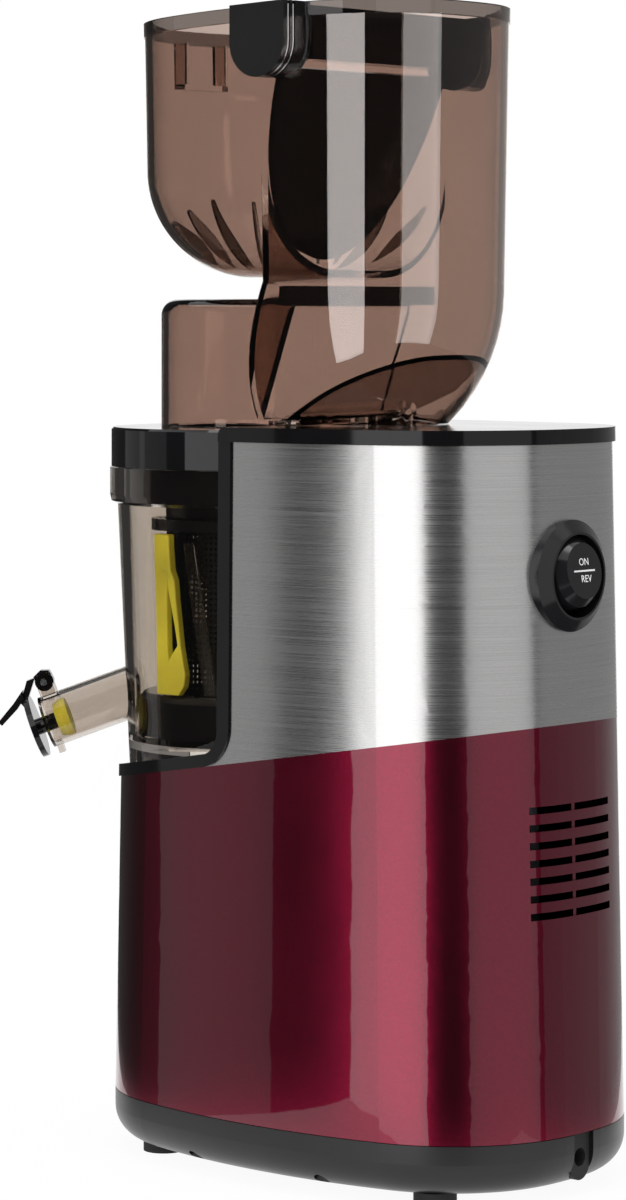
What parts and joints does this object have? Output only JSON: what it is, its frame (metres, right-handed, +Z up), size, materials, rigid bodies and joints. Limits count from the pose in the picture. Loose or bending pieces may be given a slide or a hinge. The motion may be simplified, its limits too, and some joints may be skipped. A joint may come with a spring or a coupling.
{
  "type": "cold press juicer",
  "caption": "Upright whole-fruit cold press juicer: smoke feed hopper with a gate, lift-off juicing bowl with auger, strainer and capped spout, on a motor base with a rocker switch.",
  "frame": {"origin": "on the table, at the centre of the whole bounding box, spout lever included", "axes": "+Z up, -Y towards the bowl and its spouts, +Y towards the switch side, +X towards the side of the juice spout"},
  "size_m": [0.157, 0.2774, 0.4968],
  "materials": {
    "bar_black": "gloss black",
    "black_base": "satin moulded black",
    "foot_rubber": "matt rubber",
    "red_shell": "deep metallic red under clear gloss",
    "steel_skin": "brushed across, satin",
    "inner_plastic": "plain moulded",
    "piano_black": "high gloss black",
    "smoke_clear": "clear smoke brown",
    "smoke_rim": "dark gloss",
    "gate_black": "gloss black",
    "silicone": "yellow-green silicone",
    "seal_grey": "grey silicone",
    "screw_steel": "zinc plated",
    "pin_steel": "polished",
    "mesh_steel": "perforated, bright",
    "gear_nylon": "natural nylon",
    "gearbox_plastic": "glass filled nylon",
    "bearing_bronze": "sintered bronze",
    "motor_can_steel": "grey paint",
    "motor_iron": "stacked laminations",
    "rotor_steel": "turned",
    "fan_plastic": "moulded",
    "board_green": "solder mask",
    "capacitor_white": "plain",
    "auger_resin": "hard dark resin",
    "wiper_black": "gloss black"
  },
  "bodies": {
    "base": {"base_tray": "black_base", "cord_inlet": "foot_rubber", "rubber_feet": "foot_rubber", "base_screws": "screw_steel", "lower_shell": "red_shell", "steel_wrap": "steel_skin", "tower_core": "inner_plastic", "top_plate": "piano_black", "bezel_liner": "piano_black", "switch_bezel": "piano_black", "switch_body": "inner_plastic", "gearbox_housing": "gearbox_plastic", "gearbox_cover": "gearbox_plastic", "gearbox_screws": "screw_steel", "gear_axles": "rotor_steel", "lower_bearing": "bearing_bronze", "upper_bearing": "bearing_bronze", "shaft_seal": "seal_grey", "motor_can": "motor_can_steel", "motor_stator": "motor_iron", "motor_bolts": "screw_steel", "control_board": "board_green", "run_capacitor": "capacitor_white"},
    "rocker": {"rocker_button": "piano_black"},
    "rotor": {"motor_rotor": "rotor_steel", "cooling_fan": "fan_plastic"},
    "first_wheel": {"first_gear": "gear_nylon"},
    "second_wheel": {"second_gear": "gear_nylon"},
    "output_wheel": {"output_gear": "rotor_steel"},
    "bowl_unit": {"bowl": "smoke_clear", "bowl_seal": "seal_grey", "pulp_plug": "silicone", "idler_pins": "pin_steel", "cap_hinge_pin": "pin_steel", "strainer_frame": "wiper_black", "strainer_mesh": "mesh_steel"},
    "auger_unit": {"auger": "auger_resin", "auger_socket": "rotor_steel"},
    "wiper": {"wiper_frame": "wiper_black", "wiper_blades": "silicone"},
    "idler_right": {"idler_gear_right": "gear_nylon"},
    "idler_left": {"idler_gear_left": "gear_nylon"},
    "juice_cap": {"juice_cap_lever": "piano_black", "juice_cap_plug": "silicone"},
    "hopper_unit": {"hopper": "smoke_clear", "throat_bar": "bar_black", "hopper_rim_front": "smoke_rim", "hopper_rim_back": "smoke_rim", "lid_ring": "piano_black", "lid_gasket": "seal_grey", "gate_boss_right": "gate_black", "gate_boss_left": "gate_black", "gate_pins": "pin_steel", "gate_spring": "screw_steel", "gate_crossbar": "gate_black"},
    "gate": {"gate_flap": "gate_black"}
  },
  "joints": [
    {"name": "rocker_tilt", "type": "hinge", "parent": "base", "child": "rocker", "pos_m": [0.0036, 0.12053, 0.2564], "axis": [1, 0, 0], "range_deg": [-16, 0]},
    {"name": "motor_spin", "type": "hinge", "parent": "base", "child": "rotor", "pos_m": [0, 0.06437, 0], "axis": [0, 0, 1], "continuous": true},
    {"name": "first_wheel_spin", "type": "hinge", "parent": "base", "child": "first_wheel", "pos_m": [0, 0.02937, 0], "axis": [0, 0, 1], "continuous": true},
    {"name": "second_wheel_spin", "type": "hinge", "parent": "base", "child": "second_wheel", "pos_m": [0, -0.01, 0], "axis": [0, 0, 1], "continuous": true},
    {"name": "output_spin", "type": "hinge", "parent": "base", "child": "output_wheel", "pos_m": [0, -0.04825, 0], "axis": [0, 0, 1], "continuous": true},
    {"name": "bowl_lift", "type": "slide", "parent": "base", "child": "bowl_unit", "axis": [0, 0, 1], "range_m": [0, 0.06]},
    {"name": "auger_spin", "type": "hinge", "parent": "bowl_unit", "child": "auger_unit", "pos_m": [0, -0.04825, 0.1795], "axis": [0, 0, 1], "continuous": true},
    {"name": "idler_right_spin", "type": "hinge", "parent": "bowl_unit", "child": "idler_right", "pos_m": [0.02, -0.04825, 0.1795], "axis": [0, 0, 1], "continuous": true},
    {"name": "idler_left_spin", "type": "hinge", "parent": "bowl_unit", "child": "idler_left", "pos_m": [-0.02, -0.04825, 0.1795], "axis": [0, 0, 1], "continuous": true},
    {"name": "wiper_spin", "type": "hinge", "parent": "bowl_unit", "child": "wiper", "pos_m": [0, -0.04825, 0.1795], "axis": [0, 0, 1], "continuous": true},
    {"name": "juice_cap_hinge", "type": "hinge", "parent": "bowl_unit", "child": "juice_cap", "pos_m": [0.05966, -0.11935, 0.20173], "axis": [-0.766, -0.6428, 0], "range_deg": [0, 80]},
    {"name": "hopper_lift", "type": "slide", "parent": "bowl_unit", "child": "hopper_unit", "axis": [0, 0, 1], "range_m": [0, 0.06]},
    {"name": "gate_swing", "type": "hinge", "parent": "hopper_unit", "child": "gate", "pos_m": [0, 0.01955, 0.4786], "axis": [1, 0, 0], "range_deg": [0, 45], "stiffness_Nm_per_rad": 0.02, "springref_deg": -28.65}
  ],
  "couplings": [
    {"joint": "first_wheel_spin", "follows": "motor_spin", "ratio": -0.25},
    {"joint": "second_wheel_spin", "follows": "motor_spin", "ratio": 0.071429},
    {"joint": "output_spin", "follows": "motor_spin", "ratio": -0.029762},
    {"joint": "auger_spin", "follows": "motor_spin", "ratio": -0.029762},
    {"joint": "idler_right_spin", "follows": "motor_spin", "ratio": 0.055272},
    {"joint": "idler_left_spin", "follows": "motor_spin", "ratio": 0.055272},
    {"joint": "wiper_spin", "follows": "motor_spin", "ratio": 0.01433}
  ]
}
